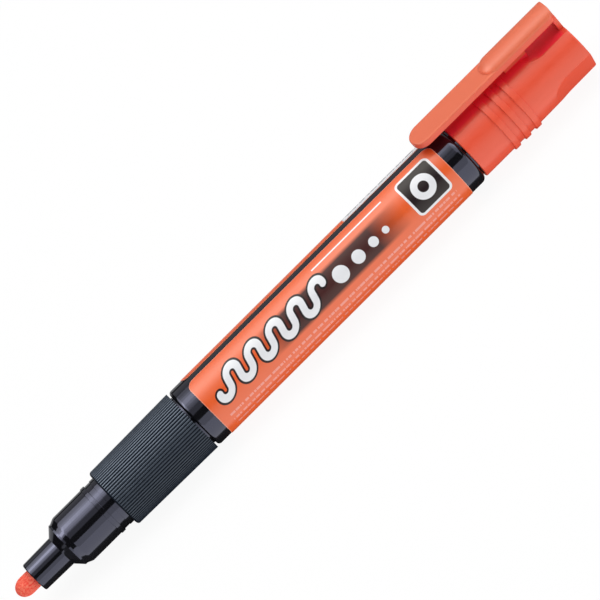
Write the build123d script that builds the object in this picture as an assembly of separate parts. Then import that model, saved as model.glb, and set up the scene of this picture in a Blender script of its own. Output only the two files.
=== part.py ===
from build123d import *
import os
from math import cos, radians, sin, sqrt

# Valve-action paint marker lying on its side, clip up, with its cap posted on the tail.
# X runs along the marker with the nib at -X, Z is up, sizes are millimetres.
# Stations along the axis are counted from the tip of the nib at rest.

# Nib
NIB_DIAMETER = 4.06
NIB_NOSE = 2.5  # length of the rounded point
NIB_SHOWN = 4.56  # bare nib in front of its collar
NIB_LENGTH = 29.0
NIB_TRAVEL = 1.6  # how far a press pushes it in
NIB_CLEARANCE = 0.06

# Nib holder: collar, cone, and the spigot that plugs into the front holder
COLLAR_LENGTH = 7.41
COLLAR_FRONT_DIAMETER = 6.66
COLLAR_REAR_DIAMETER = 6.94
COLLAR_EDGE = 0.35
COLLAR_BORE_LENGTH = 6.6  # the part of the bore that guides the nib
CONE_LENGTH = 1.62
CONE_DIAMETER = 10.42
CONE_RIM = 0.42
WELL_GAP = 0.85  # paint well round the nib
SPIGOT_WALL = 1.4
SPIGOT_LENGTH = 5.5
SPIGOT_FIT = 0.02

# Front holder: cap seat, snap bead, flange, core under the grip and plug in the barrel
SEAT_DIAMETER = 11.48
SEAT_CHAMFER = 1.2
SEAT_CHAMFER_EDGE = 1.2
SEAT_LENGTH = 7.64
BEAD_HEIGHT = 0.17
BEAD_WIDTH = 1.0
BEAD_EDGE = 0.2
NECK_DEPTH = 0.08
NECK_WIDTH = 1.35
FLANGE_HEIGHT = 0.06
FLANGE_WIDTH = 1.05
CORE_DIAMETER = 11.1
STOP_HEIGHT = 0.18  # ledge that the barrel's mouth butts on
STOP_WIDTH = 0.35  # groove seen between grip and barrel
PLUG_LENGTH = 8.0
PLUG_CLEARANCE = 0.02
PLUG_EDGE = 0.4

# Grip sleeve
GRIP_LENGTH = 21.65
GRIP_FRONT_DIAMETER = 13.8
GRIP_REAR_DIAMETER = 14.34
GRIP_EDGE = 0.6
GRIP_FIT = 0.02
RIB_COUNT = 72
RIB_DEPTH = 0.17

# Barrel and its tail
BARREL_LENGTH = 73.85
BARREL_DIAMETER = 14.14
BARREL_WALL = 1.2
BARREL_FRONT_EDGE = 0.75
BARREL_REAR_EDGE = 1.2
SHOULDER_LEDGE = 0.08  # flat left between the rounded shoulder and the tail
TAIL_LENGTH = 11.5
TAIL_EDGE = 0.8

# Ring that seals the plug in the barrel
SEAL_WIDTH = 1.4
SEAL_HEIGHT = 0.8
SEAL_EDGE = 0.3
SEAL_SETBACK = 3.0  # from the barrel's mouth
SEAL_FIT = 0.02

# Label
LABEL_FRONT_MARGIN = 3.5
LABEL_LENGTH = 66.3
LABEL_THICKNESS = 0.09
LABEL_GLUE = 0.01
LABEL_SLIT = 1.8
LABEL_SLIT_TURN = 7.7  # degrees from the top, away from the printed side
LABEL_CORNER = 1.9

# Valve
NIB_PLAY = 0.03
PAD_DIAMETER = 3.8
PAD_LENGTH = 1.6
PAD_CLEARANCE = 0.4
STEM_DIAMETER = 1.8
STEM_REACH = 0.6  # guide end of the stem that stands out of the cage
STEM_CLEARANCE = 0.1
VALVE_BORE = 7.8
VALVE_FIT = 0.02
VALVE_SEAT_LENGTH = 2.0
VALVE_HOLE = 3.0
VALVE_BEVEL = 0.7
VALVE_GAP = 0.05  # measured along the axis, between cone and bevel
HEAD_DIAMETER = 5.0
HEAD_RIM = 0.6
CAGE_WALL = 0.9
CAGE_END_WALL = 1.2
PORT_DIAMETER = 1.1
PORT_COUNT = 4
SPRING_LENGTH = 8.5
SPRING_DIAMETER = 3.8  # at the middle of the wire
SPRING_WIRE = 0.4
SPRING_HALF_TURNS = 13
SPRING_SEAT = 0.02

# Mixing ball
BALL_DIAMETER = 4.8
BALL_CLEARANCE = 0.1
BALL_END_GAP = 0.3

# Cap
POSTED_GAP = 0.3  # between the barrel's shoulder and the cap's mouth
CAP_LENGTH = 30.7
CAP_WALL = 0.95
CAP_END_DIAMETER = 13.0  # the body tapers from its last ring to here
CAP_CLEARANCE = 0.06
CAP_END_WALL = 1.3
CAP_MOUTH_EDGE = 0.25
CAP_END_EDGE = 0.35
SEAT_DEPTH = 13.0  # straight bore, from the mouth
SNAP_CLEARANCE = 0.03  # round the bead, in the cap's groove
RING_START = 7.7
RING_WIDTH = 1.37
RING_PITCH = 2.85
RING_COUNT = 3
RING_HEIGHT = 0.42
RING_EDGE = 0.14
FLAT_COUNT = 3
FLAT_DEPTH = 1.15
FLAT_LENGTH = 6.6
FLAT_RUNOUT = 9.5  # radius of the curve where a flat runs out

# Pocket clip, moulded with the cap
CLIP_OVERHANG = 6.5  # past the cap's mouth
CLIP_WIDTH = 5.9
CLIP_THICKNESS = 1.5
CLIP_GAP = 2.35
CLIP_EDGE = 0.3
CLIP_END_CORNER = 1.6
RIDGE_START = 12.6
RIDGE_HEIGHT = 1.25
RIDGE_INSET = 0.04
RIDGE_END_EDGE = 0.8
WEB_START = 16.3
WEB_LENGTH = 5.6
WEB_WIDTH = 1.4
END_WEB_LENGTH = 1.0
END_WEB_WIDTH = 3.4
WEB_ROOT = 0.3  # how far a web is rooted in what it joins

# Liner in the cap
LINER_START = 14.0  # from the mouth
LINER_FIT = 0.02
LINER_END_GAP = 0.1
LINER_END_WALL = 0.8
LINER_SEAL = 0.03

# Radii that follow
nib_r = NIB_DIAMETER / 2
nib_bore_r = nib_r + NIB_CLEARANCE
well_r = nib_r + WELL_GAP
spigot_r = well_r + SPIGOT_WALL
seat_r = SEAT_DIAMETER / 2
bead_r = seat_r + BEAD_HEIGHT
core_r = CORE_DIAMETER / 2
barrel_r = BARREL_DIAMETER / 2
bore_r = barrel_r - BARREL_WALL
plug_r = bore_r - PLUG_CLEARANCE
stop_r = bore_r + STOP_HEIGHT
label_r = barrel_r + LABEL_GLUE + LABEL_THICKNESS
valve_bore_r = VALVE_BORE / 2
cage_r = valve_bore_r - VALVE_FIT
cage_bore_r = cage_r - CAGE_WALL
guide_r = STEM_DIAMETER / 2 + STEM_CLEARANCE
tail_r = seat_r
cap_bore_r = seat_r + CAP_CLEARANCE
cap_r = cap_bore_r + CAP_WALL
ring_r = cap_r + RING_HEIGHT
flat_r = cap_r - FLAT_DEPTH
cavity_r = flat_r - CAP_WALL
clip_under = cap_r + CLIP_GAP
clip_top = clip_under + CLIP_THICKNESS
ball_r = BALL_DIAMETER / 2

# Stations that follow, in order from the nib
x_collar = NIB_SHOWN
x_cone = x_collar + COLLAR_LENGTH
x_rim = x_cone + CONE_LENGTH
x_step = x_rim + CONE_RIM
x_seat = x_step + SEAT_CHAMFER
x_bead = x_seat + SEAT_LENGTH
x_neck = x_bead + BEAD_WIDTH
x_flange = x_neck + NECK_WIDTH
x_grip = x_flange + FLANGE_WIDTH
x_stop = x_grip + GRIP_LENGTH
x_barrel = x_stop + STOP_WIDTH
x_plug_end = x_barrel + PLUG_LENGTH
x_seal = x_barrel + SEAL_SETBACK
x_label = x_barrel + LABEL_FRONT_MARGIN
x_shoulder = x_barrel + BARREL_LENGTH
x_tank_end = x_shoulder - BARREL_WALL
x_tail_end = x_shoulder + TAIL_LENGTH
x_mouth = x_shoulder + POSTED_GAP
x_cap_end = x_mouth + CAP_LENGTH
x_spigot_end = x_step + SPIGOT_LENGTH
x_pad = NIB_LENGTH + NIB_PLAY
x_pad_end = x_pad + PAD_LENGTH
x_valve = x_pad_end + NIB_TRAVEL + PAD_CLEARANCE
x_cage = x_valve + VALVE_SEAT_LENGTH
x_head_cone = x_cage - VALVE_BEVEL + VALVE_GAP - (VALVE_HOLE - STEM_DIAMETER) / 2
x_head = x_head_cone + (HEAD_DIAMETER - STEM_DIAMETER) / 2
x_head_rear = x_head + HEAD_RIM
x_cage_wall = x_head_rear + SPRING_LENGTH
x_cage_end = x_cage_wall + CAGE_END_WALL

axis_height = max(label_r, ring_r, GRIP_REAR_DIAMETER / 2)


def turned(*corners):
    """Solid of revolution; each corner is (station, radius) or (station, radius, rounding)."""
    points = [corner[:2] for corner in corners]
    rounding = [corner[2] if len(corner) > 2 else 0 for corner in corners]
    return revolve(make_face(FilletPolyline(*points, radius=rounding, close=True)), Axis.X)


def make_nib():
    nose = EllipticalCenterArc((NIB_NOSE, 0), NIB_NOSE, nib_r, start_angle=90, arc_size=90)
    shank = Polyline((0, 0), (NIB_LENGTH, 0), (NIB_LENGTH, nib_r), (NIB_NOSE, nib_r))
    return revolve(make_face([nose, shank]), Axis.X)


def make_nib_holder():
    return turned(
        (x_collar, nib_bore_r),
        (x_collar, COLLAR_FRONT_DIAMETER / 2, COLLAR_EDGE),
        (x_cone, COLLAR_REAR_DIAMETER / 2),
        (x_rim, CONE_DIAMETER / 2),
        (x_step, CONE_DIAMETER / 2),
        (x_step, spigot_r),
        (x_spigot_end, spigot_r),
        (x_spigot_end, well_r),
        (x_collar + COLLAR_BORE_LENGTH, well_r),
        (x_collar + COLLAR_BORE_LENGTH, nib_bore_r),
    )


def make_front_holder():
    spigot_bore_r = spigot_r + SPIGOT_FIT
    seal_groove_r = bore_r - SEAL_HEIGHT
    return turned(
        (x_step, spigot_bore_r),
        (x_step, CONE_DIAMETER / 2),
        (x_seat, seat_r, SEAT_CHAMFER_EDGE),
        (x_bead, seat_r),
        (x_bead, bead_r, BEAD_EDGE / 2),
        (x_neck, bead_r, BEAD_EDGE / 2),
        (x_neck, seat_r - NECK_DEPTH),
        (x_flange, seat_r - NECK_DEPTH),
        (x_flange, seat_r + FLANGE_HEIGHT, FLANGE_HEIGHT),
        (x_grip, seat_r + FLANGE_HEIGHT),
        (x_grip, core_r),
        (x_stop, core_r),
        (x_stop, stop_r),
        (x_barrel, stop_r),
        (x_barrel, plug_r),
        (x_seal, plug_r),
        (x_seal, seal_groove_r),
        (x_seal + SEAL_WIDTH, seal_groove_r),
        (x_seal + SEAL_WIDTH, plug_r),
        (x_plug_end, plug_r, PLUG_EDGE),
        (x_plug_end, valve_bore_r),
        (x_valve, valve_bore_r),
        (x_valve, well_r),
        (x_spigot_end, well_r),
        (x_spigot_end, spigot_bore_r),
    )


def ribbed_section(station, crest_r):
    """Cross-section of the sleeve: a ring of rounded ribs that meet in sharp valleys."""
    step = 360 / RIB_COUNT

    def at(turn, radius):
        return (station, radius * sin(radians(turn)), radius * cos(radians(turn)))

    valley_r = crest_r - RIB_DEPTH
    ribs = [
        ThreePointArc(at(i * step, valley_r), at((i + 0.5) * step, crest_r), at((i + 1) * step, valley_r))
        for i in range(RIB_COUNT)
    ]
    return make_face(ribs)


def make_grip_sleeve():
    front_r = GRIP_FRONT_DIAMETER / 2
    rear_r = GRIP_REAR_DIAMETER / 2
    ribs = loft([ribbed_section(x_grip, front_r), ribbed_section(x_stop, rear_r)], ruled=True)
    rounded = turned(
        (x_grip, core_r + GRIP_FIT),
        (x_grip, front_r, GRIP_EDGE),
        (x_grip + GRIP_LENGTH, rear_r + RIB_DEPTH),
        (x_grip + GRIP_LENGTH, core_r + GRIP_FIT),
    )
    return ribs & rounded


def make_barrel():
    tail_bore_r = tail_r - BARREL_WALL
    rear_edge = min(BARREL_REAR_EDGE, barrel_r - tail_r - SHOULDER_LEDGE)
    return turned(
        (x_barrel, bore_r),
        (x_barrel, barrel_r, BARREL_FRONT_EDGE),
        (x_shoulder, barrel_r, rear_edge),
        (x_shoulder, tail_r),
        (x_tail_end, tail_r, TAIL_EDGE),
        (x_tail_end, 0),
        (x_tail_end - BARREL_WALL, 0),
        (x_tail_end - BARREL_WALL, tail_bore_r),
        (x_tank_end, tail_bore_r),
        (x_tank_end, bore_r),
    )


def make_barrel_seal():
    inner_r = bore_r - SEAL_HEIGHT + SEAL_FIT
    outer_r = bore_r - SEAL_FIT
    front = x_seal + SEAL_FIT
    rear = x_seal + SEAL_WIDTH - SEAL_FIT
    return turned(
        (front, inner_r, SEAL_EDGE),
        (front, outer_r, SEAL_EDGE),
        (rear, outer_r, SEAL_EDGE),
        (rear, inner_r, SEAL_EDGE),
    )


def make_label():
    """Wrapped film, slit lengthwise, with the four corners at the slit rounded off."""
    film = turned(
        (x_label, barrel_r + LABEL_GLUE),
        (x_label, label_r),
        (x_label + LABEL_LENGTH, label_r),
        (x_label + LABEL_LENGTH, barrel_r + LABEL_GLUE),
    )
    beside = RectangleRounded(LABEL_LENGTH, 4 * LABEL_CORNER, LABEL_CORNER)
    offset = LABEL_SLIT / 2 + 2 * LABEL_CORNER
    slit = Rectangle(2 * LABEL_LENGTH, LABEL_SLIT + 4 * LABEL_CORNER)
    slit -= Pos(0, offset) * beside
    slit -= Pos(0, -offset) * beside
    middle = Pos(x_label + LABEL_LENGTH / 2, 0, 0)
    cutter = extrude(middle * slit, amount=2 * label_r)
    return film - Rot(X=-LABEL_SLIT_TURN) * cutter


def make_valve_seat():
    hole_r = VALVE_HOLE / 2
    return turned(
        (x_valve, hole_r),
        (x_valve, cage_r),
        (x_cage, cage_r),
        (x_cage, hole_r + VALVE_BEVEL),
        (x_cage - VALVE_BEVEL, hole_r),
    )


def make_valve_stem():
    stem_r = STEM_DIAMETER / 2
    head_r = HEAD_DIAMETER / 2
    x_end = x_cage_end + STEM_REACH
    return turned(
        (x_pad, 0),
        (x_pad, PAD_DIAMETER / 2),
        (x_pad_end, PAD_DIAMETER / 2),
        (x_pad_end, stem_r),
        (x_head_cone, stem_r),
        (x_head, head_r),
        (x_head_rear, head_r),
        (x_head_rear, stem_r),
        (x_end, stem_r),
        (x_end, 0),
    )


def make_valve_spring():
    """Round wire coiled in half turns: each is a flat tilted arc that meets the next in line."""
    coil_r = SPRING_DIAMETER / 2
    rise = (SPRING_LENGTH - SPRING_WIRE - 2 * SPRING_SEAT) / SPRING_HALF_TURNS
    start = x_head_rear + SPRING_SEAT + SPRING_WIRE / 2
    bulge_r = sqrt(coil_r**2 + (rise / 2) ** 2)
    arcs = []
    for i in range(SPRING_HALF_TURNS):
        side = 1 if i % 2 == 0 else -1
        begin = (start + i * rise, 0, side * coil_r)
        middle = (start + (i + 0.5) * rise, side * bulge_r, 0)
        end = (start + (i + 1) * rise, 0, -side * coil_r)
        arcs.append(ThreePointArc(begin, middle, end))
    path = Wire(arcs)
    section = Plane(origin=path @ 0, z_dir=path % 0) * Circle(SPRING_WIRE / 2)
    samples = 30  # along each half turn
    steps = samples * SPRING_HALF_TURNS
    points = [path @ (i / steps) for i in range(steps + 1)]
    least = min((a - b).length for i, a in enumerate(points) for b in points[i + samples :])
    print(f"valve_spring least gap to itself {least - SPRING_WIRE:.2f} mm")
    return sweep(section, path)


def make_spring_cage():
    cage = turned(
        (x_cage, cage_bore_r),
        (x_cage, cage_r),
        (x_cage_end, cage_r),
        (x_cage_end, guide_r),
        (x_cage_wall, guide_r),
        (x_cage_wall, cage_bore_r),
    )
    port_circle_r = (guide_r + cage_bore_r) / 2
    for i in range(PORT_COUNT):
        at_end = Pos(x_cage_wall, 0, 0) * Rot(X=360 * i / PORT_COUNT) * Pos(0, 0, port_circle_r)
        cage -= at_end * Rot(Y=90) * Cylinder(PORT_DIAMETER / 2, 4 * CAGE_END_WALL)
    return cage


def make_mixing_ball():
    station = x_tank_end - BALL_END_GAP - ball_r
    return Pos(station, 0, -(bore_r - BALL_CLEARANCE - ball_r)) * Sphere(ball_r)


def make_cap_shell():
    """Turned shell of the cap: rings outside, seat bore, snap groove and liner cavity inside."""
    snap = x_grip - x_neck
    snap_depth = bead_r + SNAP_CLEARANCE - cap_bore_r
    outside = [(0, cap_bore_r), (0, cap_r, CAP_MOUTH_EDGE)]
    for i in range(RING_COUNT):
        front = RING_START + i * RING_PITCH
        outside += [
            (front, cap_r),
            (front, ring_r, RING_EDGE),
            (front + RING_WIDTH, ring_r, RING_EDGE),
            (front + RING_WIDTH, cap_r),
        ]
    inside = [
        (CAP_LENGTH, CAP_END_DIAMETER / 2, CAP_END_EDGE),
        (CAP_LENGTH, 0),
        (CAP_LENGTH - CAP_END_WALL, 0),
        (CAP_LENGTH - CAP_END_WALL, cavity_r),
        (SEAT_DEPTH + cap_bore_r - cavity_r, cavity_r),
        (SEAT_DEPTH, cap_bore_r),
        (snap + BEAD_WIDTH + snap_depth, cap_bore_r),
        (snap + BEAD_WIDTH, cap_bore_r + snap_depth),
        (snap, cap_bore_r + snap_depth),
        (snap - snap_depth, cap_bore_r),
    ]
    return turned(*outside, *inside)


def make_flat_cutter():
    """What is cut away above one flat of the cap, with the curve where the flat runs out."""
    clear_r = ring_r + RING_HEIGHT
    flat_start = CAP_LENGTH - FLAT_LENGTH
    climb = clear_r - flat_r
    runout_start = flat_start - sqrt(FLAT_RUNOUT**2 - (FLAT_RUNOUT - climb) ** 2)
    past_end = CAP_LENGTH + CAP_END_WALL
    runout = TangentArc((flat_start, flat_r), (runout_start, clear_r), tangent=(-1, 0))
    rest = Polyline((runout_start, clear_r), (past_end, clear_r), (past_end, flat_r), (flat_start, flat_r))
    profile = Plane.XZ * make_face([runout, rest])
    return extrude(profile, amount=2 * cap_r, both=True)


def clip_outline():
    """Clip seen from above: a round tip over the barrel and rounded corners at the cap's end."""
    half = CLIP_WIDTH / 2
    shoulder = half - CLIP_OVERHANG
    round_tip = ThreePointArc((shoulder, -half), (-CLIP_OVERHANG, 0), (shoulder, half))
    sides = FilletPolyline(
        (shoulder, half), (CAP_LENGTH, half), (CAP_LENGTH, -half), (shoulder, -half),
        radius=[CLIP_END_CORNER] * 2,
    )
    return make_face([round_tip, sides])


def make_clip():
    """Flat paddle with rounded edges, and the domed ridge that stiffens its root."""
    plate = extrude(Pos(0, 0, clip_under) * clip_outline(), amount=CLIP_THICKNESS)
    rims = plate.edges().group_by(Axis.Z)
    plate = fillet(rims[0] + rims[-1], CLIP_EDGE)
    half = CLIP_WIDTH / 2 - RIDGE_INSET
    foot = clip_top - CLIP_EDGE
    height = RIDGE_HEIGHT + CLIP_EDGE
    dome = RIDGE_START + half
    quarter_arc = EllipticalCenterArc((0, foot), half, height, start_angle=0, arc_size=90)
    quarter = make_face([quarter_arc, Polyline((0, foot + height), (0, foot), (half, foot))])
    half_arc = EllipticalCenterArc((0, foot), half, height, start_angle=0, arc_size=180)
    arch = make_face([half_arc, Line((-half, foot), (half, foot))])
    root = Plane.YZ.offset(dome)
    ridge = extrude(root * arch, amount=CAP_LENGTH)
    ridge += revolve(root * quarter, Axis((dome, 0, 0), (0, 0, 1)), revolution_arc=180)
    ridge &= extrude(Pos(0, 0, clip_under) * clip_outline(), amount=CLIP_THICKNESS + height)
    side = FilletPolyline(
        (0, foot), (0, foot + height), (CAP_LENGTH, foot + height), (CAP_LENGTH, foot),
        radius=[0, 0, RIDGE_END_EDGE, 0], close=True,
    )
    ridge &= extrude(Plane.XZ * make_face(side), amount=CLIP_WIDTH, both=True)
    return plate + ridge


def make_web(start, length, width):
    """Upright wall between the flat of the cap and the clip's underside."""
    height = clip_under - flat_r + 2 * WEB_ROOT
    middle = Pos(start + length / 2, 0, flat_r - WEB_ROOT + height / 2)
    return middle * Box(length, width, height)


def make_cap():
    """Whole cap with its mouth at station 0."""
    cap = make_cap_shell()
    for i in range(FLAT_COUNT):
        cap -= Rot(X=360 * i / FLAT_COUNT) * make_flat_cutter()
    cap += make_clip()
    cap += make_web(WEB_START, WEB_LENGTH, WEB_WIDTH)
    cap += make_web(CAP_LENGTH - END_WEB_LENGTH, END_WEB_LENGTH, END_WEB_WIDTH)
    return cap


def make_inner_cap():
    """Liner of the cap, placed from the cap's mouth at station 0."""
    outer_r = cavity_r - LINER_FIT
    inner_r = COLLAR_REAR_DIAMETER / 2 + LINER_SEAL
    end = CAP_LENGTH - CAP_END_WALL - LINER_END_GAP
    return turned(
        (LINER_START, inner_r),
        (LINER_START, outer_r),
        (end, outer_r),
        (end, 0),
        (end - LINER_END_WALL, 0),
        (end - LINER_END_WALL, inner_r),
    )


posted = Pos(x_mouth, 0, 0)
nodes = {
    "nib": make_nib(),
    "nib_holder": make_nib_holder(),
    "front_holder": make_front_holder(),
    "grip_sleeve": make_grip_sleeve(),
    "barrel": make_barrel(),
    "barrel_seal": make_barrel_seal(),
    "label": make_label(),
    "valve_seat": make_valve_seat(),
    "valve_stem": make_valve_stem(),
    "valve_spring": make_valve_spring(),
    "spring_cage": make_spring_cage(),
    "mixing_ball": make_mixing_ball(),
    "cap": posted * make_cap(),
    "inner_cap": posted * make_inner_cap(),
}

# The part's frame: centred along X, resting on z = 0.
to_frame = Pos(-x_cap_end / 2, 0, axis_height)

os.makedirs("parts", exist_ok=True)
for name, shape in nodes.items():
    export_step(to_frame * shape, f"parts/{name}.step")
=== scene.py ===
import bpy
from math import cos, pi, radians, sin, tan
from mathutils import Matrix, Vector


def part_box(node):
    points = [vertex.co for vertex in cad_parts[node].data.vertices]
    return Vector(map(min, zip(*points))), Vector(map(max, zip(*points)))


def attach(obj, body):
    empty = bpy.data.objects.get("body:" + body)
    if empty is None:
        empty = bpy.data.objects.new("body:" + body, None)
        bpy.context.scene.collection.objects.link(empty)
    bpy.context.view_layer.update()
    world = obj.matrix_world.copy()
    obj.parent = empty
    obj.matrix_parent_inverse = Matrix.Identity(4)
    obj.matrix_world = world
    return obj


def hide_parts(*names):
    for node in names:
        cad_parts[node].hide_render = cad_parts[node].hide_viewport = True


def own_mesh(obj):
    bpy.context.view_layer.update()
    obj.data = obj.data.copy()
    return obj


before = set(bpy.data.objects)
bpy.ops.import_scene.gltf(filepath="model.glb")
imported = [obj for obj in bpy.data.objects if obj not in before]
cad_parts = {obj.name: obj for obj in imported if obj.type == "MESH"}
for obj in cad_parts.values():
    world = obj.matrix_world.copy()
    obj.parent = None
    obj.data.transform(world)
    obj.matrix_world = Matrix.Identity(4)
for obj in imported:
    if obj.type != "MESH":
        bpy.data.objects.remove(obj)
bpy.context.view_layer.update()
bpy.ops.object.select_all(action="DESELECT")

# Barrel: the paint tank and outer tube, moulded from black polypropylene in one piece with its
# narrower tail. Its skin is glossy, with faint waves and the fine rub marks of handling.
BLACK = (0.0045, 0.0045, 0.0055, 1)
BLACK_SHEEN = (0.72, 0.74, 1.0, 1)
RUB_MARKS = (0.004, 0.0002)  # length and width in metres, as for the other grains
RUB_ROUGHNESS = (0.05, 0.11)
SKIN_WAVES = (0.003, 0.0015)
SKIN_WAVE_DEPTH = 0.000004


def new_finish(name, colour, roughness, specular):
    """A material of one surface shader with even values, to which patterns are added."""
    finish = bpy.data.materials.new(name)
    finish.use_nodes = True
    surface = finish.node_tree.nodes["Principled BSDF"]
    surface.inputs["Base Color"].default_value = colour
    surface.inputs["Roughness"].default_value = roughness
    surface.inputs["Specular IOR Level"].default_value = specular
    return finish, surface


def plug(finish, socket, value):
    """Feeds a socket from another node's output, or sets it to a number or a colour."""
    if isinstance(value, bpy.types.NodeSocket):
        finish.node_tree.links.new(value, socket)
    else:
        socket.default_value = value


def grain(finish, length, across, detail=2.0):
    """Uneven grain from 0 to 1, with its grains that long and that wide, in metres."""
    points = finish.node_tree.nodes.new("ShaderNodeTexCoord")
    scale = finish.node_tree.nodes.new("ShaderNodeMapping")
    scale.inputs["Scale"].default_value = (1 / length, 1 / across, 1 / across)
    noise = finish.node_tree.nodes.new("ShaderNodeTexNoise")
    noise.inputs["Scale"].default_value = 1
    noise.inputs["Detail"].default_value = detail
    plug(finish, scale.inputs["Vector"], points.outputs["Object"])
    plug(finish, noise.inputs["Vector"], scale.outputs["Vector"])
    return noise.outputs["Fac"]


def spread(finish, value, low, high, from_low=0.3, from_high=0.7):
    """Stretches values from one range to another and holds them at its ends, by default for grain."""
    stretch = finish.node_tree.nodes.new("ShaderNodeMapRange")
    plug(finish, stretch.inputs["Value"], value)
    plug(finish, stretch.inputs["From Min"], from_low)
    plug(finish, stretch.inputs["From Max"], from_high)
    plug(finish, stretch.inputs["To Min"], low)
    plug(finish, stretch.inputs["To Max"], high)
    return stretch.outputs["Result"]


def add_relief(finish, surface, height, depth):
    """Fine relief of that depth in metres, which only bends the light."""
    bump = finish.node_tree.nodes.new("ShaderNodeBump")
    bump.inputs["Distance"].default_value = depth
    plug(finish, bump.inputs["Height"], height)
    plug(finish, surface.inputs["Normal"], bump.outputs["Normal"])


def dress(finish, *nodes):
    """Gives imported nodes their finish."""
    for name in nodes:
        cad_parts[name].material_slots[0].material = finish


gloss_black, surface = new_finish("gloss_black", BLACK, roughness=0.1, specular=0.95)
surface.inputs["Specular Tint"].default_value = BLACK_SHEEN
rubs = spread(gloss_black, grain(gloss_black, *RUB_MARKS), *RUB_ROUGHNESS)
plug(gloss_black, surface.inputs["Roughness"], rubs)
add_relief(gloss_black, surface, grain(gloss_black, *SKIN_WAVES), SKIN_WAVE_DEPTH)
dress(gloss_black, "barrel")

# Mixing ball: a ground steel ball, loose in the tank, which rattles and stirs the paint when the
# marker is shaken.
STEEL = (0.58, 0.57, 0.55, 1)
STEEL_MARKS = (0.0004, 0.0004)
STEEL_ROUGHNESS = (0.16, 0.34)
STEEL_PITS = (0.0002, 0.0002)
STEEL_PIT_DEPTH = 0.000003
steel, surface = new_finish("bright_steel", STEEL, roughness=0.25, specular=0.5)
surface.inputs["Metallic"].default_value = 1.0
rubs = spread(steel, grain(steel, *STEEL_MARKS), *STEEL_ROUGHNESS)
plug(steel, surface.inputs["Roughness"], rubs)
add_relief(steel, surface, grain(steel, *STEEL_PITS), STEEL_PIT_DEPTH)
dress(steel, "mixing_ball")

# Valve spring: bright drawn steel wire, coiled, between the valve stem's head and the cage's end
# wall. It shuts the valve. It is built at rest and moves with the barrel; on the real marker it
# shortens as the nib is pressed in, with its rear end standing.
AXIS_HEIGHT = 0.00717  # the marker's axis above the table
SPRING_WIRE = 0.0004
SPRING_RADIUS = 0.0019  # at the middle of the wire
SPRING_TURNS = 6.5
WIRE_SIDES = 16
TURN_STEPS = 48
SHARP_EDGE = radians(40)
low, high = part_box("valve_spring")
start = low.x + SPRING_WIRE / 2
climb = high.x - low.x - SPRING_WIRE
bpy.ops.mesh.primitive_circle_add(
    vertices=WIRE_SIDES,
    radius=SPRING_WIRE / 2,
    location=(start, 0, AXIS_HEIGHT),
)
spring = bpy.context.object
spring.name = "coiled_spring"
bpy.ops.object.mode_set(mode="EDIT")
bpy.ops.transform.rotate(value=pi / 2, orient_axis="X", center_override=spring.location)
bpy.ops.transform.translate(value=(0, 0, SPRING_RADIUS))
bpy.ops.object.mode_set(mode="OBJECT")
bpy.ops.object.modifier_add(type="SCREW")
coil = spring.modifiers[-1]
coil.axis = "X"
coil.angle = -2 * pi * SPRING_TURNS
coil.screw_offset = climb
coil.steps = coil.render_steps = round(TURN_STEPS * SPRING_TURNS)
bpy.ops.object.modifier_apply(modifier=coil.name)
bpy.ops.object.transform_apply(location=True, rotation=True, scale=True)
bpy.ops.object.mode_set(mode="EDIT")
bpy.ops.mesh.select_all(action="SELECT")
bpy.ops.mesh.fill_holes(sides=0)
bpy.ops.mesh.normals_make_consistent(inside=False)
bpy.ops.object.mode_set(mode="OBJECT")
bpy.ops.object.shade_smooth_by_angle(angle=SHARP_EDGE)
spring.data.materials.append(steel)
dress(steel, "valve_spring")
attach(spring, "barrel")
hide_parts("valve_spring")
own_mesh(spring)

# Valve stem and spring cage: small mouldings of white acetal. The cage is pressed into the front
# holder's bore, the stem slides in it, and both are wetted with paint in use.
ACETAL = (0.8, 0.79, 0.75, 1)
ACETAL_SHADE = (0.7, 0.68, 0.62, 1)
ACETAL_CLOUDS = (0.0015, 0.0015)
ACETAL_SKIN = (0.0002, 0.0002)
ACETAL_SKIN_DEPTH = 0.000004
MIX_SHARE, MIX_FIRST, MIX_SECOND, MIX_RESULT = 0, 6, 7, 2  # a mix node's sockets for colours


def blend_colours(finish, share, first, second):
    """The first colour where share is 0 and the second where it is 1."""
    mix = finish.node_tree.nodes.new("ShaderNodeMix")
    mix.data_type = "RGBA"
    plug(finish, mix.inputs[MIX_SHARE], share)
    plug(finish, mix.inputs[MIX_FIRST], first)
    plug(finish, mix.inputs[MIX_SECOND], second)
    return mix.outputs[MIX_RESULT]


white_acetal, surface = new_finish("white_acetal", ACETAL, roughness=0.42, specular=0.5)
clouds = spread(white_acetal, grain(white_acetal, *ACETAL_CLOUDS), 0, 1)
colour = blend_colours(white_acetal, clouds, ACETAL, ACETAL_SHADE)
plug(white_acetal, surface.inputs["Base Color"], colour)
add_relief(white_acetal, surface, grain(white_acetal, *ACETAL_SKIN), ACETAL_SKIN_DEPTH)
dress(white_acetal, "valve_stem", "spring_cage")

# Valve seat and barrel seal: black nitrile rubber rings, moulded, matt, with a dusty bloom. One
# sits under the valve stem's head, and the other closes the joint of barrel and front holder.
RUBBER = (0.022, 0.022, 0.024, 1)
RUBBER_BLOOM = (0.05, 0.05, 0.052, 1)
BLOOM_SPECKS = (0.0006, 0.0006)
BLOOM_DETAIL = 4.0
RUBBER_SKIN = (0.0001, 0.0001)
RUBBER_SKIN_DEPTH = 0.000008
seal_rubber, surface = new_finish("seal_rubber", RUBBER, roughness=0.7, specular=0.35)
bloom = spread(seal_rubber, grain(seal_rubber, *BLOOM_SPECKS, BLOOM_DETAIL), 0, 1)
colour = blend_colours(seal_rubber, bloom, RUBBER, RUBBER_BLOOM)
plug(seal_rubber, surface.inputs["Base Color"], colour)
add_relief(seal_rubber, surface, grain(seal_rubber, *RUBBER_SKIN), RUBBER_SKIN_DEPTH)
dress(seal_rubber, "valve_seat", "barrel_seal")

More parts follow.
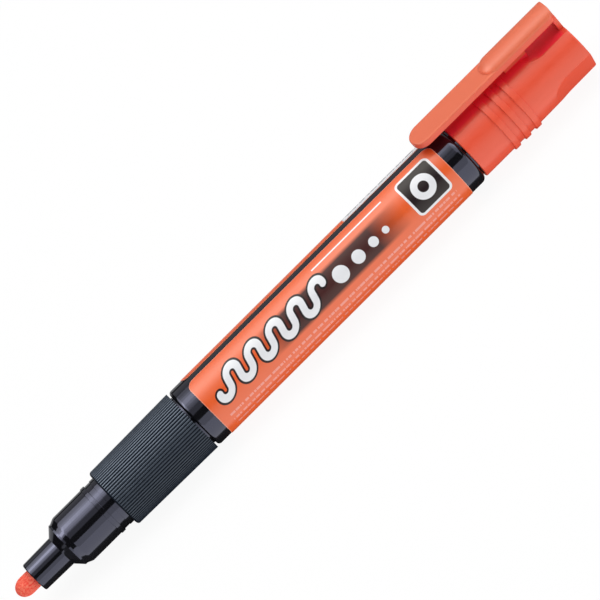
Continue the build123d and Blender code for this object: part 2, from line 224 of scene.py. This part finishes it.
# Front holder and nib holder: black polypropylene mouldings, pushed one into the other and into the
# barrel. The front holder carries the valve and the cap's seat, and the nib holder guides the nib.
dress(gloss_black, "front_holder", "nib_holder")

# Grip sleeve: satin slate thermoplastic, moulded with fine lengthwise ribs and pushed over the
# front holder. The crests are glossier, and the valleys between the ribs are painted darker, as shade.
SLATE = (0.012, 0.018, 0.03, 1)
SLATE_VALLEY_SHADE = (0.008, 0.01, 0.015, 1)
SLATE_SHEEN = (0.74, 0.85, 1.0, 1)
SLATE_IOR = 1.7
GRIP_CREST_FRONT = 0.0069  # radius over the ribs
GRIP_CREST_REAR = 0.00717
RIB_DEPTH = 0.00017
VALLEY_SHADE_START, VALLEY_SHADE_END = 0.25 * RIB_DEPTH, 0.95 * RIB_DEPTH
SHINE_START, SHINE_END = 0.02 * RIB_DEPTH, 0.4 * RIB_DEPTH
CREST_SHINE, VALLEY_SHINE = 0.85, 0.05
GRIP_MARKS = (0.0008, 0.0003)
GRIP_ROUGHNESS = (0.27, 0.37)
GRIP_SKIN = (0.00012, 0.00008)
GRIP_SKIN_DEPTH = 0.000006


def calc(finish, operation, *values):
    """One step of arithmetic on the surface's pattern."""
    step = finish.node_tree.nodes.new("ShaderNodeMath")
    step.operation = operation
    for socket, value in zip(step.inputs, values):
        plug(finish, socket, value)
    return step.outputs["Value"]


def diagonal(finish, a, b):
    """Distance made up of two distances at right angles."""
    return calc(finish, "SQRT", calc(finish, "MULTIPLY_ADD", a, a, calc(finish, "MULTIPLY", b, b)))


def coordinates(finish):
    """Place of each point of the surface: along the marker, and across and up from its axis."""
    points = finish.node_tree.nodes.new("ShaderNodeTexCoord")
    parts = finish.node_tree.nodes.new("ShaderNodeSeparateXYZ")
    plug(finish, parts.inputs["Vector"], points.outputs["Object"])
    x, y, z = parts.outputs
    return x, y, calc(finish, "SUBTRACT", z, AXIS_HEIGHT)


slate_grip, surface = new_finish("slate_grip", SLATE, roughness=0.4, specular=0.9)
surface.inputs["Specular Tint"].default_value = SLATE_SHEEN
surface.inputs["IOR"].default_value = SLATE_IOR
low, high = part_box("grip_sleeve")
x, y, up = coordinates(slate_grip)
crest = spread(slate_grip, x, GRIP_CREST_FRONT, GRIP_CREST_REAR, low.x, high.x)
depth = calc(slate_grip, "SUBTRACT", crest, diagonal(slate_grip, y, up))
# Painted shade: the valleys between the ribs are painted darker.
valley_shade = spread(slate_grip, depth, 0, 1, VALLEY_SHADE_START, VALLEY_SHADE_END)
colour = blend_colours(slate_grip, valley_shade, SLATE, SLATE_VALLEY_SHADE)
plug(slate_grip, surface.inputs["Base Color"], colour)
shine = spread(slate_grip, depth, CREST_SHINE, VALLEY_SHINE, SHINE_START, SHINE_END)
plug(slate_grip, surface.inputs["Specular IOR Level"], shine)
rubs = spread(slate_grip, grain(slate_grip, *GRIP_MARKS), *GRIP_ROUGHNESS)
plug(slate_grip, surface.inputs["Roughness"], rubs)
add_relief(slate_grip, surface, grain(slate_grip, *GRIP_SKIN), GRIP_SKIN_DEPTH)
dress(slate_grip, "grip_sleeve")

# Nib: a bullet point of pressed polyester fibre, soaked with paint, sliding in the nib holder's bore.
# It is ground round at the tip, and its lengthwise fibres and small wrinkles show in relief.
NIB_RADIUS = 0.00203
NIB_SIDES = 120
NIB_CUTS = 40  # along the straight part
NIB_NOSE = 0.0025
NOSE_STEPS = 9
NOSE_TURN = radians(86)
FORWARD = -0.9  # a face that looks ahead has a normal with less than this along the marker
PAINT = (0.94, 0.205, 0.12, 1)
PAINT_DEEP = (0.86, 0.03, 0.014, 1)
NIB_FIBRES = (0.0012, 0.00012)
FIBRE_DETAIL = 4.0
NIB_WRINKLES = (0.00045, 0.00035)
WRINKLE_DETAIL = 3.0
SOAK_START, SOAK_END = 0.82, 1.18
NIB_ROUGHNESS = (0.55, 0.85)
NIB_RELIEF = 0.00012
low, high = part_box("nib")
shank = high.x - low.x - NIB_NOSE
bpy.ops.mesh.primitive_cylinder_add(
    vertices=NIB_SIDES,
    radius=NIB_RADIUS,
    depth=shank,
    location=(high.x - shank / 2, 0, AXIS_HEIGHT),
    rotation=(0, pi / 2, 0),
)
nib = bpy.context.object
nib.name = "fibre_nib"
bpy.ops.object.transform_apply(location=True, rotation=True, scale=True)
bpy.ops.object.mode_set(mode="EDIT")
bpy.ops.mesh.select_mode(type="FACE")
bpy.ops.mesh.select_all(action="DESELECT")
bpy.ops.object.mode_set(mode="OBJECT")
for face in nib.data.polygons:
    face.select = face.normal.x < FORWARD
bpy.ops.object.mode_set(mode="EDIT")
width = 1.0
reach = 0.0
for step in range(1, NOSE_STEPS + 1):
    turn = step / NOSE_STEPS * NOSE_TURN
    forward = NIB_NOSE * sin(turn) / sin(NOSE_TURN)
    bpy.ops.mesh.extrude_region_move(TRANSFORM_OT_translate={"value": (reach - forward, 0, 0)})
    narrow = cos(turn) / width
    bpy.ops.transform.resize(value=(1, narrow, narrow), center_override=(0, 0, AXIS_HEIGHT))
    width = cos(turn)
    reach = forward
bpy.ops.mesh.select_all(action="DESELECT")
bpy.ops.mesh.select_mode(type="EDGE")
bpy.ops.object.mode_set(mode="OBJECT")
for edge in nib.data.edges:
    a, b = (nib.data.vertices[i].co for i in edge.vertices)
    edge.select = abs(a.x - b.x) > shank / 2
bpy.ops.object.mode_set(mode="EDIT")
bpy.ops.mesh.subdivide(number_cuts=NIB_CUTS)
bpy.ops.mesh.select_all(action="SELECT")
bpy.ops.mesh.normals_make_consistent(inside=False)
bpy.ops.object.mode_set(mode="OBJECT")
bpy.ops.object.shade_smooth_by_angle(angle=SHARP_EDGE)

nib_fibre, surface = new_finish("nib_fibre", PAINT, roughness=0.7, specular=0.4)
fibres = grain(nib_fibre, *NIB_FIBRES, FIBRE_DETAIL)
wrinkles = grain(nib_fibre, *NIB_WRINKLES, WRINKLE_DETAIL)
tangle = calc(nib_fibre, "ADD", fibres, wrinkles)
soak = spread(nib_fibre, tangle, 0, 1, SOAK_START, SOAK_END)
colour = blend_colours(nib_fibre, soak, PAINT_DEEP, PAINT)
plug(nib_fibre, surface.inputs["Base Color"], colour)
plug(nib_fibre, surface.inputs["Roughness"], spread(nib_fibre, wrinkles, *NIB_ROUGHNESS))
add_relief(nib_fibre, surface, tangle, NIB_RELIEF)
nib.data.materials.append(nib_fibre)
dress(nib_fibre, "nib")
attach(nib, "nib")
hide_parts("nib")

# Label: printed plastic film wrapped round the barrel, with its two edges a slit apart near the top.
# The print is orange with a white serpentine, a dark sprayed band, dots, a mark and small dashes, and
# the dark inks are less glossy than the film.
MILLIMETRES = 1000  # in a metre
LABEL_RADIUS = 7.17  # millimetres, as are the print's other sizes
FACING = radians(51.5)  # from the top round to the printed front
FILM_ORANGE = (0.75, 0.096, 0.0105, 1)
FILM_SHEEN = (0.95, 0.95, 0.86, 1)
FILM_PALE = (0.8, 0.3, 0.2, 1)
FILM_RIM = 0.1
FILM_SLIT = 1.8
FILM_SLIT_TURN = radians(7.7)
FILM_CORNER = 1.9
FILM_MARKS = (0.006, 0.0004)
FILM_ROUGHNESS = (0.28, 0.38)
FILM_WAVES = (0.005, 0.003)
FILM_WAVE_DEPTH = 0.000006
INK_DARK = (0.012, 0.005, 0.008, 1)
INK_SPRAY = (0.055, 0.014, 0.014, 1)
INK_GLOSS = 0.45
INK_WHITE = (0.75, 0.76, 0.79, 1)
INK_FINE = (0.77, 0.25, 0.195, 1)
PRINT_EDGE = 0.04
BAND_START, BAND_END = 15.0, 54.0
BAND_RISE, BAND_FALL = 8.0, 8.0
BAND_HALF = 2.9
BAND_SOFT = 0.4
SNAKE_START = 6.6
SNAKE_MIDDLE = 0.4
SNAKE_BEND = 1.45
SNAKE_COUNT = 8
SNAKE_RUN = 1.5
SNAKE_HALF = 0.74
SNAKE_LEAN = 0.28
SNAKE_OUTLINE = 0.42
DOTS = ((36.6, 1.75), (41.4, 1.4), (45.5, 1.05), (48.8, 0.75))  # station and radius
DOT_ROW = -0.2
RULE_MIDDLE = (42.5, 4.6)
RULE_HALF = (9.5, 0.17)
SMALL_ROWS = (-4.9, -6.4, -7.9)
SMALL_START, SMALL_END = 2.2, 64.0
SMALL_HALF = 0.27
STROKE_LENGTH = 0.62
STROKE_SHIFT = 13.7  # makes each row's strokes differ
STROKE_START, STROKE_FULL = 0.42, 0.45
MARK_MIDDLE = (59.9, 0.6)
MARK_HALF = (4.4, 4.4)
MARK_CORNER = 1.2
MARK_FRAME = 0.5
MARK_DISC = 2.6
MARK_DOT = 1.15
PANEL_MIDDLE = (54.5, 11.4)
PANEL_HALF = (10.2, 3.1)
PANEL_CORNER = 0.2
PANEL_ROWS = (10.1, 11.1, 12.1, 13.1)
PANEL_MARGIN = 1.0

film, surface = new_finish("label_print", FILM_ORANGE, roughness=0.2, specular=1.0)
surface.inputs["Specular Tint"].default_value = FILM_SHEEN
low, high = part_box("label")
x, y, up = coordinates(film)
along = calc(film, "MULTIPLY", calc(film, "SUBTRACT", x, low.x), MILLIMETRES)
across = calc(film, "ADD", calc(film, "ARCTAN2", y, up), FACING)
across = calc(film, "MULTIPLY", across, LABEL_RADIUS)


def away(place, middle):
    """Distance from a middle line of the print, on either side of it."""
    return calc(film, "ABSOLUTE", calc(film, "SUBTRACT", place, middle))


def from_box(middle, half, corner=0.0, beside=None):
    """Distance to a rounded rectangle on the print, negative inside."""
    a = calc(film, "SUBTRACT", away(along, middle[0]), half[0] - corner)
    b = calc(film, "SUBTRACT", beside or away(across, middle[1]), half[1] - corner)
    outside = diagonal(film, calc(film, "MAXIMUM", a, 0), calc(film, "MAXIMUM", b, 0))
    inside = calc(film, "MINIMUM", calc(film, "MAXIMUM", a, b), 0)
    return calc(film, "SUBTRACT", calc(film, "ADD", outside, inside), corner)


def from_dot(middle, radius):
    """Distance to a disc on the print, negative inside."""
    centre = diagonal(film, away(along, middle[0]), away(across, middle[1]))
    return calc(film, "SUBTRACT", centre, radius)


def inked(distance, soft=PRINT_EDGE):
    """1 inside a printed shape and 0 outside it, with an edge that soft."""
    return spread(film, distance, 1, 0, -soft, soft)


def dashes(row, start, end):
    """A row of short strokes of uneven length."""
    noise = film.node_tree.nodes.new("ShaderNodeTexNoise")
    noise.noise_dimensions = "1D"
    noise.inputs["Scale"].default_value = 1
    noise.inputs["Detail"].default_value = 1
    place = calc(film, "MULTIPLY_ADD", along, 1 / STROKE_LENGTH, row * STROKE_SHIFT)
    plug(film, noise.inputs["W"], place)
    strokes = spread(film, noise.outputs["Fac"], 0, 1, STROKE_START, STROKE_FULL)
    line = from_box(((start + end) / 2, row), ((end - start) / 2, SMALL_HALF))
    return calc(film, "MULTIPLY", strokes, inked(line))


band = inked(calc(film, "SUBTRACT", away(across, 0), BAND_HALF), BAND_SOFT)
band = calc(film, "MULTIPLY", band, spread(film, along, 0, 1, BAND_START, BAND_START + BAND_RISE))
band = calc(film, "MULTIPLY", band, spread(film, along, 1, 0, BAND_END - BAND_FALL, BAND_END))
colour = blend_colours(film, band, FILM_ORANGE, INK_SPRAY)

# The serpentine is straight runs joined by half turns, with one half turn in each cell.
lean = calc(film, "SUBTRACT", along, SNAKE_START)
lean = calc(film, "MULTIPLY_ADD", calc(film, "SUBTRACT", across, SNAKE_MIDDLE), -SNAKE_LEAN, lean)
cell = calc(film, "FLOOR", calc(film, "DIVIDE", lean, 2 * SNAKE_BEND))
cell = calc(film, "MINIMUM", calc(film, "MAXIMUM", cell, 0), SNAKE_COUNT - 1)
aside = away(lean, calc(film, "MULTIPLY_ADD", cell, 2 * SNAKE_BEND, SNAKE_BEND))
upside = calc(film, "MULTIPLY_ADD", calc(film, "MODULO", cell, 2), -2, 1)
rise = calc(film, "MULTIPLY", calc(film, "SUBTRACT", across, SNAKE_MIDDLE), upside)
above = calc(film, "MAXIMUM", calc(film, "SUBTRACT", rise, SNAKE_RUN / 2), 0)
bend = calc(film, "ABSOLUTE", calc(film, "SUBTRACT", diagonal(film, aside, above), SNAKE_BEND))
below = calc(film, "MINIMUM", calc(film, "ADD", rise, SNAKE_RUN / 2), 0)
next_bend = diagonal(film, calc(film, "SUBTRACT", 2 * SNAKE_BEND, aside), below)
next_bend = calc(film, "ABSOLUTE", calc(film, "SUBTRACT", next_bend, SNAKE_BEND))
under = calc(film, "LESS_THAN", rise, -SNAKE_RUN / 2)
snake = spread(film, under, bend, next_bend, 0, 1)
for station, side in ((-2 * SNAKE_BEND, -1), (2 * SNAKE_BEND * (SNAKE_COUNT + 1), 1)):
    tail = diagonal(film, away(lean, station), away(across, SNAKE_MIDDLE + side * SNAKE_RUN / 2))
    snake = calc(film, "MINIMUM", snake, tail)
snake = calc(film, "SUBTRACT", snake, SNAKE_HALF)
colour = blend_colours(film, inked(calc(film, "SUBTRACT", snake, SNAKE_OUTLINE)), colour, INK_DARK)
colour = blend_colours(film, inked(snake), colour, INK_WHITE)

for station, radius in DOTS:
    colour = blend_colours(film, inked(from_dot((station, DOT_ROW), radius)), colour, INK_WHITE)
colour = blend_colours(film, inked(from_box(RULE_MIDDLE, RULE_HALF)), colour, INK_WHITE)
for row in SMALL_ROWS:
    colour = blend_colours(film, dashes(row, SMALL_START, SMALL_END), colour, INK_FINE)

mark = from_box(MARK_MIDDLE, MARK_HALF, MARK_CORNER)
colour = blend_colours(film, inked(mark), colour, INK_WHITE)
colour = blend_colours(film, inked(calc(film, "ADD", mark, MARK_FRAME)), colour, INK_DARK)
colour = blend_colours(film, inked(from_dot(MARK_MIDDLE, MARK_DISC)), colour, INK_WHITE)
colour = blend_colours(film, inked(from_dot(MARK_MIDDLE, MARK_DOT)), colour, INK_DARK)

pale_panel = from_box(PANEL_MIDDLE, PANEL_HALF, PANEL_CORNER)
colour = blend_colours(film, inked(pale_panel), colour, INK_WHITE)
panel_start = PANEL_MIDDLE[0] - PANEL_HALF[0] + PANEL_MARGIN
panel_end = PANEL_MIDDLE[0] + PANEL_HALF[0] - PANEL_MARGIN
for row in PANEL_ROWS:
    colour = blend_colours(film, dashes(row, panel_start, panel_end), colour, INK_DARK)

length = MILLIMETRES * (high.x - low.x)
half_girth = pi * LABEL_RADIUS
beside = away(across, (FACING + FILM_SLIT_TURN) * LABEL_RADIUS)
beside = calc(film, "SUBTRACT", half_girth, beside)
outline = from_box((length / 2, 0), (length / 2, half_girth - FILM_SLIT / 2), FILM_CORNER, beside)
colour = blend_colours(film, inked(calc(film, "ADD", outline, FILM_RIM)), FILM_PALE, colour)

plug(film, surface.inputs["Base Color"], colour)
split = film.node_tree.nodes.new("ShaderNodeSeparateColor")
plug(film, split.inputs["Color"], colour)
gloss = spread(film, split.outputs["Red"], INK_GLOSS, 1, INK_SPRAY[0], FILM_ORANGE[0])
plug(film, surface.inputs["Specular IOR Level"], gloss)
rubs = spread(film, grain(film, *FILM_MARKS), *FILM_ROUGHNESS)
plug(film, surface.inputs["Roughness"], rubs)
add_relief(film, surface, grain(film, *FILM_WAVES), FILM_WAVE_DEPTH)
dress(film, "label")

# Inner cap: a thin liner of natural polyethylene pressed into the cap, which closes round the nib's
# collar and keeps the nib wet.
LINER = (0.72, 0.71, 0.66, 1)
LINER_SHADE = (0.62, 0.6, 0.54, 1)
LINER_CLOUDS = (0.003, 0.003)
LINER_SKIN = (0.0003, 0.0003)
LINER_SKIN_DEPTH = 0.000005
natural_liner, surface = new_finish("natural_liner", LINER, roughness=0.45, specular=0.45)
clouds = spread(natural_liner, grain(natural_liner, *LINER_CLOUDS), 0, 1)
colour = blend_colours(natural_liner, clouds, LINER, LINER_SHADE)
plug(natural_liner, surface.inputs["Base Color"], colour)
add_relief(natural_liner, surface, grain(natural_liner, *LINER_SKIN), LINER_SKIN_DEPTH)
dress(natural_liner, "inner_cap")

# Cap: orange polypropylene, moulded in one piece with its pocket clip, and posted on the tail. Its
# satin skin has a fine mould texture and slight streaks. The clip's top is painted paler, partly rubbed
# and partly a painted sheen, and the ridge's front end has a painted highlight. Under the clip the
# cap has painted shade, deep crimson and less glossy, where the clip's shadow falls.
CAP_ORANGE = (0.77, 0.087, 0.041, 1)
CAP_STREAK = (0.745, 0.078, 0.035, 1)
CAP_RUBBED_SHEEN = (0.7, 0.14, 0.067, 1)
CAP_PAINTED_SHADE = (0.88, 0.032, 0.055, 1)
CAP_NOSE_HIGHLIGHT = (0.97, 0.2, 0.105, 1)
CAP_SHEEN = (1.0, 0.97, 0.86, 1)
CAP_GLOSS = 0.6
PAINTED_SHADE_GLOSS = 0.2
CAP_STREAKS = (0.012, 0.0015)
CAP_MARKS = (0.002, 0.0005)
CAP_ROUGHNESS = (0.28, 0.4)
CAP_SKIN = (0.00025, 0.00025)
CAP_SKIN_DEPTH = 0.000006
CLIP_TOP = 0.0106  # heights are from the marker's axis
CLIP_UNDERSIDE = 0.0091
CLIP_HALF_WIDTH = 0.00295
RUB_AND_SHEEN_DEPTH = 0.0004
NOSE_FULL, NOSE_END = 0.0199, 0.0217  # the ridge's front end, from the clip's tip
NOSE_FOOT = 0.0001  # heights over the clip's top, for the ridge's front end
NOSE_SHOULDER, NOSE_CREST = 0.0003, 0.0011
CAP_FLAT = 0.0056
PAINTED_SHADE_HALF = 0.65 * CLIP_HALF_WIDTH
FLAT_HALF, FLAT_EDGE = 0.0031, 0.0034
OFF_FLAT = (0.00003, 0.0002)  # heights over the flat where its shade gives way to the clip's
PAINTED_SHADE_BELOW = (-0.0004, -0.0001)  # from the flat
PAINTED_SHADE_ABOVE = (0.0003, 0.0)  # from the clip's underside
PAINTED_SHADE_BEHIND = (-0.0005, -0.0015)  # from the cap's closed end
WEB_MIDDLE = 0.0256  # from the clip's tip
WEB_HALF_LENGTH = 0.0028
WEB_FOOT = 0.0069
WEB_EDGE = 0.0001
satin_orange, surface = new_finish("satin_orange", CAP_ORANGE, roughness=0.34, specular=CAP_GLOSS)
surface.inputs["Specular Tint"].default_value = CAP_SHEEN
low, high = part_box("cap")
x, y, up = coordinates(satin_orange)
streaks = spread(satin_orange, grain(satin_orange, *CAP_STREAKS), 0, 1)
colour = blend_colours(satin_orange, streaks, CAP_ORANGE, CAP_STREAK)
# Painted sheen, with some rubbing: the clip's top is painted paler, as if lit from above.
rubbed_and_sheen = spread(satin_orange, up, 0, 1, CLIP_TOP - RUB_AND_SHEEN_DEPTH, CLIP_TOP)
colour = blend_colours(satin_orange, rubbed_and_sheen, colour, CAP_RUBBED_SHEEN)


def narrow_down(mask, place, start, end):
    """The part of a mask of the cap that lies past start, and in full past end."""
    return calc(satin_orange, "MULTIPLY", mask, spread(satin_orange, place, 0, 1, start, end))


# Painted highlight: the front end of the clip's ridge is painted lighter.
nose_highlight = spread(satin_orange, x, 1, 0, low.x + NOSE_FULL, low.x + NOSE_END)
nose_highlight = narrow_down(nose_highlight, up, CLIP_TOP, CLIP_TOP + NOSE_FOOT)
nose_highlight = narrow_down(nose_highlight, up, CLIP_TOP + NOSE_CREST, CLIP_TOP + NOSE_SHOULDER)
colour = blend_colours(satin_orange, nose_highlight, colour, CAP_NOSE_HIGHLIGHT)

# Painted shade: the cap under the clip, its flat included, is painted deep crimson and less glossy.
aside = calc(satin_orange, "ABSOLUTE", y)
flat_painted_shade = spread(satin_orange, aside, 1, 0, FLAT_HALF, FLAT_EDGE)
painted_shade = spread(satin_orange, aside, 1, 0, PAINTED_SHADE_HALF, CLIP_HALF_WIDTH)
start, end = (CAP_FLAT + height for height in OFF_FLAT)
painted_shade = spread(satin_orange, up, flat_painted_shade, painted_shade, start, end)
for place, edge, (start, end) in (
    (up, CAP_FLAT, PAINTED_SHADE_BELOW),
    (up, CLIP_UNDERSIDE, PAINTED_SHADE_ABOVE),
    (x, high.x, PAINTED_SHADE_BEHIND),
):
    painted_shade = narrow_down(painted_shade, place, edge + start, edge + end)
from_web = calc(satin_orange, "ABSOLUTE", calc(satin_orange, "SUBTRACT", x, low.x + WEB_MIDDLE))
web = spread(satin_orange, from_web, 1, 0, WEB_HALF_LENGTH, WEB_HALF_LENGTH + WEB_EDGE)
web = narrow_down(web, up, WEB_FOOT - WEB_EDGE, WEB_FOOT)
painted_shade = calc(satin_orange, "MULTIPLY", painted_shade, calc(satin_orange, "SUBTRACT", 1, web))
colour = blend_colours(satin_orange, painted_shade, colour, CAP_PAINTED_SHADE)
plug(satin_orange, surface.inputs["Base Color"], colour)
gloss = spread(satin_orange, painted_shade, CAP_GLOSS, PAINTED_SHADE_GLOSS, 0, 1)
plug(satin_orange, surface.inputs["Specular IOR Level"], gloss)
rubs = spread(satin_orange, grain(satin_orange, *CAP_MARKS), *CAP_ROUGHNESS)
plug(satin_orange, surface.inputs["Roughness"], rubs)
add_relief(satin_orange, surface, grain(satin_orange, *CAP_SKIN), CAP_SKIN_DEPTH)
dress(satin_orange, "cap")

# Table: a plain white sheet under the marker. The camera sees it as white, with the marker's faint
# shadow. The gloss sees it darker, with a painted shadow: a dark strip under the marker.
TABLE_SIZE = 14
TABLE_DROP = 0.00002  # below the marker
TABLE_SEEN = 0.85  # grey of the sheet to the camera
TABLE_WHITE = 0.35  # to the light that it throws on the marker
TABLE_SHADE = 0.08  # and to the gloss
TABLE_LIFT = 0.93  # share of plain white in what the camera sees
MIRRORED_LIFT = 0.409  # part of that share in what the gloss sees
SHADOW_STRIP_HALF, SHADOW_STRIP_EDGE = 0.0082, 0.0098  # from the marker's axis
bpy.ops.mesh.primitive_plane_add(size=TABLE_SIZE, location=(0, 0, -TABLE_DROP))
table = bpy.context.object
table.name = "table"
paper = bpy.data.materials.new("table_white")
paper.use_nodes = True
tree = paper.node_tree
tree.nodes.clear()
ray = tree.nodes.new("ShaderNodeLightPath")
seen = ray.outputs["Is Camera Ray"]
mirrored = calc(paper, "MAXIMUM", ray.outputs["Is Glossy Ray"], ray.outputs["Is Transmission Ray"])
matt = tree.nodes.new("ShaderNodeBsdfDiffuse")
unseen = spread(paper, mirrored, TABLE_WHITE, TABLE_SHADE, 0, 1)
plug(paper, matt.inputs["Color"], spread(paper, seen, unseen, TABLE_SEEN, 0, 1))
# Painted shadow for the gloss: near the marker's axis the table gets no white lift, and shows dark.
aside = calc(paper, "ABSOLUTE", coordinates(paper)[1])
clear = spread(paper, aside, 0, 1, SHADOW_STRIP_HALF, SHADOW_STRIP_EDGE)
mirrored = calc(paper, "MULTIPLY", mirrored, calc(paper, "MULTIPLY", clear, MIRRORED_LIFT))
bright = calc(paper, "MULTIPLY", calc(paper, "MAXIMUM", seen, mirrored), TABLE_LIFT)
white = tree.nodes.new("ShaderNodeEmission")
lift = tree.nodes.new("ShaderNodeMixShader")
plug(paper, lift.inputs["Fac"], bright)
plug(paper, lift.inputs[1], matt.outputs["BSDF"])
plug(paper, lift.inputs[2], white.outputs["Emission"])
sheet = tree.nodes.new("ShaderNodeOutputMaterial")
plug(paper, sheet.inputs["Surface"], lift.outputs["Shader"])
table.data.materials.append(paper)

# Light: a tent of long soft boxes over the marker, brightest overhead and weaker in front, with a dark
# gap where the camera looks in. Two boxes over the nib's end show only in the gloss. A panel beside the
# cap fills in the front, and the table glows from below, more weakly on the grip.
VIEW_ELEVATION = radians(38.5)
TENT_BOXES = {  # from and to degrees above the camera, distance, brightness, left and right ends
    "overhead_back": (100, 130, 1.2, 0.28, -0.3, 2.6),
    "overhead": (30, 98, 1.1, 0.68, -1.2, 2.6),
    "overhead_inner": (36, 85, 1.05, 0.28, -1.2, 2.6),
    "overhead_core": (43, 77, 1.0, 0.6, -1.2, 2.6),
    "overhead_heart": (52, 68, 0.95, 0.78, -1.2, 2.6),
    "overhead_nib": (52, 68, 0.93, 1.25, -1.2, -0.1),
    "overhead_front": (34, 95, 0.97, 0.7, -1.2, -0.06),
    "front_upper": (10, 30, 1.4, 0.32, -1.2, 2.6),
    "front_lower": (-39, -14, 1.1, 0.78, -1.2, 2.6),
}
GLOSS_ONLY = ("overhead_nib", "overhead_front")
POWER = 4  # watts a square metre, which make a panel look white
FILL_SIDE, FILL_TILT = radians(70), radians(42)
FILL_DISTANCE = 1.3
FILL_SIZE = (1.4, 1.2)
FILL_BRIGHTNESS = 0.65
GLOW_STEPS = (-0.0092, 0.0092, 0.022, 1.05)  # edges of the table's glows, in front of the marker
GLOW_WIDTH = 1.4
GLOW_HEIGHT = 0.0001
TABLE_GLOW = 0.78
GRIP_GLOW = 0.3
STUDIO_DARK = (0.015, 0.015, 0.016, 1)


def panel(name, middle, turn, width, height, brightness):
    """Soft light of a size, placed and turned, that looks white at brightness 1."""
    lamp = bpy.data.lights.new(name, "AREA")
    lamp.shape = "RECTANGLE"
    lamp.size = width
    lamp.size_y = height
    lamp.energy = POWER * width * height * brightness
    box = bpy.data.objects.new(name, lamp)
    bpy.context.scene.collection.objects.link(box)
    box.matrix_world = Matrix.Translation(middle) @ turn.to_4x4()
    box.visible_camera = False
    return box


def glow_up(name, near, far, brightness):
    """Light from a strip of the table, between two distances in front of the marker's axis."""
    middle = Vector((0, -(near + far) / 2, GLOW_HEIGHT))
    return panel(name, middle, Matrix.Rotation(pi, 3, "X"), GLOW_WIDTH, far - near, brightness)


def with_grip(name):
    """A collection of the grip sleeve alone, for a light that treats it apart."""
    group = bpy.data.collections.new(name)
    group.objects.link(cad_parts["grip_sleeve"])
    return group


for name, (start, end, distance, brightness, left, right) in TENT_BOXES.items():
    tilt = VIEW_ELEVATION + radians(start + end) / 2
    middle = Vector(((left + right) / 2, -distance * cos(tilt), distance * sin(tilt)))
    height = 2 * distance * tan(radians(end - start) / 2)
    box = panel(name, middle, Matrix.Rotation(pi / 2 - tilt, 3, "X"), right - left, height, brightness)
    box.visible_diffuse = name not in GLOSS_ONLY
fill_turn = Matrix.Rotation(FILL_SIDE, 3, "Z") @ Matrix.Rotation(FILL_TILT, 3, "X")
panel("side_fill", fill_turn @ Vector((0, 0, FILL_DISTANCE)), fill_turn, *FILL_SIZE, FILL_BRIGHTNESS)
glows = []
for near, far in zip(GLOW_STEPS, GLOW_STEPS[1:]):
    glows.append(glow_up("table_glow", near, far, TABLE_GLOW))
glows[0].visible_glossy = False
kept_dark = with_grip("shaded_from_table_glow")
kept_dark.collection_objects[0].light_linking.link_state = "EXCLUDE"
for glow in glows[1:]:
    glow.light_linking.receiver_collection = kept_dark
near, far = GLOW_STEPS[1:3]
grip_glow = glow_up("grip_glow", near, far, GRIP_GLOW)
grip_glow.light_linking.receiver_collection = with_grip("lit_by_grip_glow")
world = bpy.data.worlds.new("studio")
world.use_nodes = True
world.node_tree.nodes["Background"].inputs["Color"].default_value = STUDIO_DARK
bpy.context.scene.world = world

# Camera: a long lens above the front of the marker, a little to the nib's side of the middle, rolled so
# that the marker lies on the picture's diagonal.
CAMERA_DISTANCE = 0.9
CAMERA_FOOT = -0.0225  # along the marker from its middle
FRAME_WIDTH = 0.117
SENSOR_WIDTH = 36  # millimetres
AIM = (0.00283, 0.00185)  # along the marker from its middle, and above its axis
ROLL = radians(44.87)
back = Vector((0, -cos(VIEW_ELEVATION), sin(VIEW_ELEVATION)))
rise = Vector((0, sin(VIEW_ELEVATION), cos(VIEW_ELEVATION)))
axis = Vector((0, 0, AXIS_HEIGHT))
target = axis + Vector((AIM[0], 0, 0)) + rise * AIM[1]
stand = axis + Vector((CAMERA_FOOT, 0, 0)) + back * CAMERA_DISTANCE
lens = bpy.data.cameras.new("camera")
lens.sensor_width = SENSOR_WIDTH
lens.lens = SENSOR_WIDTH * CAMERA_DISTANCE / FRAME_WIDTH
camera = bpy.data.objects.new("camera", lens)
bpy.context.scene.collection.objects.link(camera)
sight = (stand - target).normalized()
right = (Vector((1, 0, 0)) - sight * sight.x).normalized()
upward = sight.cross(right)
turned = Matrix((
    right * cos(ROLL) - upward * sin(ROLL),
    right * sin(ROLL) + upward * cos(ROLL),
    sight,
)).transposed()
camera.matrix_world = Matrix.Translation(stand) @ turned.to_4x4()
bpy.context.scene.camera = camera
bpy.context.scene.view_settings.view_transform = "Standard"
